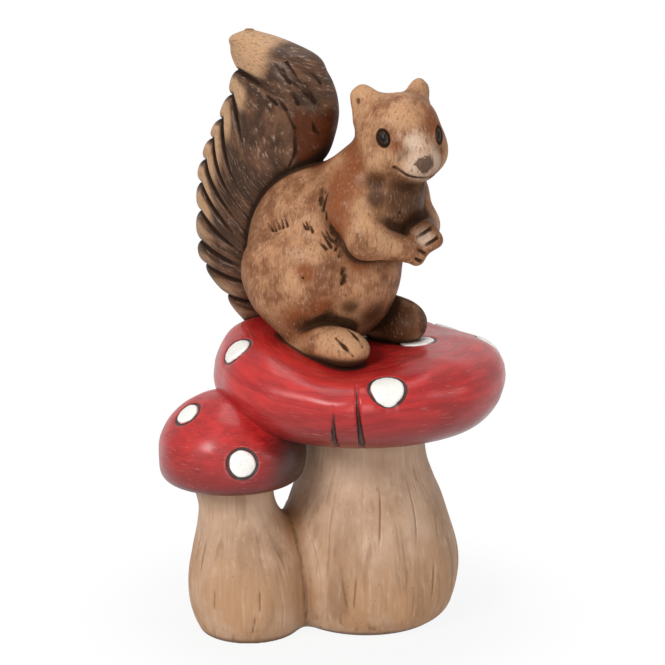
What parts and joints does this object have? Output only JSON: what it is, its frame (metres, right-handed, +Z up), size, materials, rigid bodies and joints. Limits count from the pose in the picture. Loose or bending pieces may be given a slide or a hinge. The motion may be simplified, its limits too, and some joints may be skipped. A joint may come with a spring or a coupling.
{
  "type": "squirrel on toadstools ornament",
  "caption": "Ceramic ornament: a squirrel with a raised bushy tail sits on a large red toadstool with white spots, beside a small leaning toadstool.",
  "frame": {"origin": "under the middle of the overall box, on the surface the ornament stands on", "axes": "+Z up, -Y towards the viewer of the picture, +X to that viewer's right"},
  "size_m": [0.146, 0.122, 0.245],
  "materials": {
    "red_glaze": "glossy",
    "cream_stalk": "satin",
    "white_spot": "satin",
    "fur_brown": "satin",
    "fur_tan": "satin",
    "fur_rust": "satin",
    "eye_black": "glossy"
  },
  "bodies": {
    "root": {"large_stalk": "cream_stalk", "small_stalk": "cream_stalk", "large_cap": "red_glaze", "small_cap": "red_glaze", "large_cap_spots": "white_spot", "small_cap_spots": "white_spot", "torso": "fur_brown", "right_haunch": "fur_brown", "left_haunch": "fur_brown", "right_hind_foot": "fur_tan", "left_hind_foot": "fur_tan", "right_foreleg": "fur_tan", "left_foreleg": "fur_tan", "right_forepaw": "fur_tan", "left_forepaw": "fur_tan", "head": "fur_brown", "right_ear": "fur_brown", "left_ear": "fur_brown", "right_eye": "eye_black", "left_eye": "eye_black", "tail": "fur_rust"}
  },
  "joints": []
}
